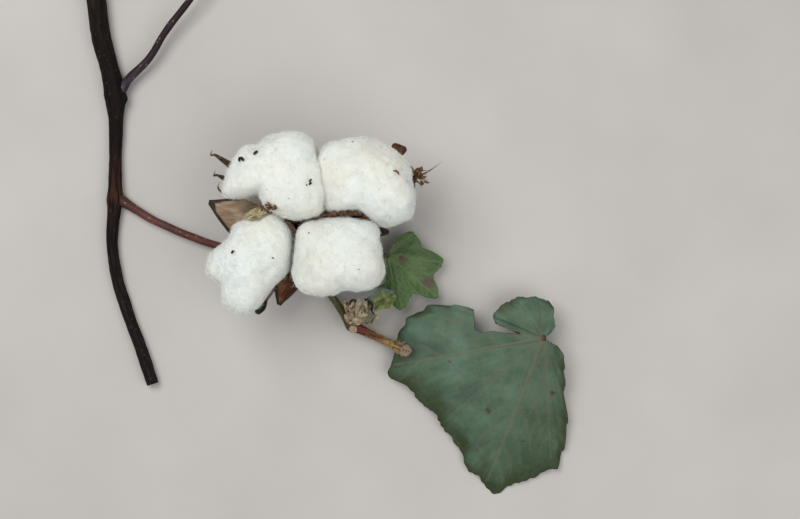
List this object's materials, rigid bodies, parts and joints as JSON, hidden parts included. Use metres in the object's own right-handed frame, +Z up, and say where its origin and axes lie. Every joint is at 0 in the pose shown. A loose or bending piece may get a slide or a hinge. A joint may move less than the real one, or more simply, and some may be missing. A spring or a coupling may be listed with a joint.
{
  "type": "cut cotton branch with an open boll",
  "caption": "Cut cotton branch that lies flat: a forked stem, a fruiting branch, an open boll with fluffy white locks in its dry bur, dried bracts and lobed leaves.",
  "frame": {"origin": "under the middle of the whole branch, on the surface that it lies on", "axes": "+Z up, the way the open boll faces; +Y along the stem towards its thick cut end; +X from the stem across the boll to the large leaf"},
  "size_m": [0.2114, 0.2286, 0.0588],
  "materials": {
    "stem_bark": "dull ridged bark",
    "shoot_bark": "smooth young bark",
    "branch_bark": "smooth young bark",
    "green_bark": "smooth green bark",
    "tip_bark": "hairy young bark",
    "husk": "dry wrinkled husk",
    "lint": "loose white fibre",
    "dry_bract": "brittle dried leaf",
    "leaf": "matt leaf",
    "bright_leaf": "matt leaf",
    "yellow_leaf": "crumpled leaf"
  },
  "bodies": {
    "root": {"main_stem": "stem_bark", "side_shoot": "shoot_bark", "fruiting_branch": "branch_bark", "large_leaf_stalk": "branch_bark", "boll_stalk": "green_bark", "second_internode": "green_bark", "small_leaf_stalk": "green_bark", "young_internode": "tip_bark", "calyx": "husk", "valve_left": "husk", "valve_lower": "husk", "valve_right": "husk", "valve_upper": "husk", "lock_upper_left": "lint", "lock_upper_right": "lint", "lock_lower_left": "lint", "lock_lower_right": "lint", "bract_left": "dry_bract", "bract_right": "dry_bract", "bract_lower": "dry_bract", "dried_bud": "dry_bract", "large_leaf": "leaf", "small_leaf": "bright_leaf", "shrivelled_leaflet": "yellow_leaf"}
  },
  "joints": []
}
